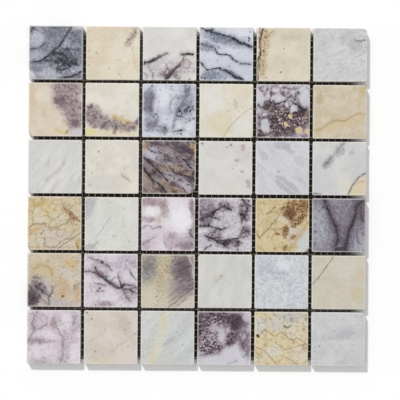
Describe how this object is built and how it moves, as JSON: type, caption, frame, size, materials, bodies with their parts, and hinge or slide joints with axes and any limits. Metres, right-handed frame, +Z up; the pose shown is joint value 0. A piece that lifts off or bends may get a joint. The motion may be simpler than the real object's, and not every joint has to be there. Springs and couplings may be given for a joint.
{
  "type": "mosaic tile sheet",
  "caption": "Flat square sheet of small square marble tiles bonded face up on an open glass-fibre net, for tiling walls and floors.",
  "frame": {"origin": "centre of the sheet, on the floor under the net", "axes": "+X to the right and +Y to the far edge as the picture shows the sheet, +Z up out of the tile faces"},
  "size_m": [0.302, 0.302, 0.0105],
  "materials": {
    "marble_white": "honed",
    "marble_grey": "honed",
    "marble_blue_grey": "honed",
    "marble_lilac": "honed",
    "marble_cream": "honed",
    "marble_beige": "honed",
    "marble_gold": "honed",
    "marble_breccia": "honed",
    "glass_net": "resin-coated glass yarn"
  },
  "bodies": {
    "root": {"tile_r1_c1": "marble_grey", "tile_r1_c2": "marble_cream", "tile_r1_c3": "marble_grey", "tile_r1_c4": "marble_blue_grey", "tile_r1_c5": "marble_cream", "tile_r1_c6": "marble_grey", "tile_r2_c1": "marble_beige", "tile_r2_c2": "marble_white", "tile_r2_c3": "marble_blue_grey", "tile_r2_c4": "marble_white", "tile_r2_c5": "marble_breccia", "tile_r2_c6": "marble_beige", "tile_r3_c1": "marble_white", "tile_r3_c2": "marble_white", "tile_r3_c3": "marble_breccia", "tile_r3_c4": "marble_white", "tile_r3_c5": "marble_blue_grey", "tile_r3_c6": "marble_grey", "tile_r4_c1": "marble_gold", "tile_r4_c2": "marble_white", "tile_r4_c3": "marble_lilac", "tile_r4_c4": "marble_lilac", "tile_r4_c5": "marble_gold", "tile_r4_c6": "marble_breccia", "tile_r5_c1": "marble_gold", "tile_r5_c2": "marble_lilac", "tile_r5_c3": "marble_breccia", "tile_r5_c4": "marble_white", "tile_r5_c5": "marble_blue_grey", "tile_r5_c6": "marble_beige", "tile_r6_c1": "marble_lilac", "tile_r6_c2": "marble_beige", "tile_r6_c3": "marble_grey", "tile_r6_c4": "marble_breccia", "tile_r6_c5": "marble_gold", "tile_r6_c6": "marble_grey", "net_weft": "glass_net", "net_warp": "glass_net"}
  },
  "joints": []
}
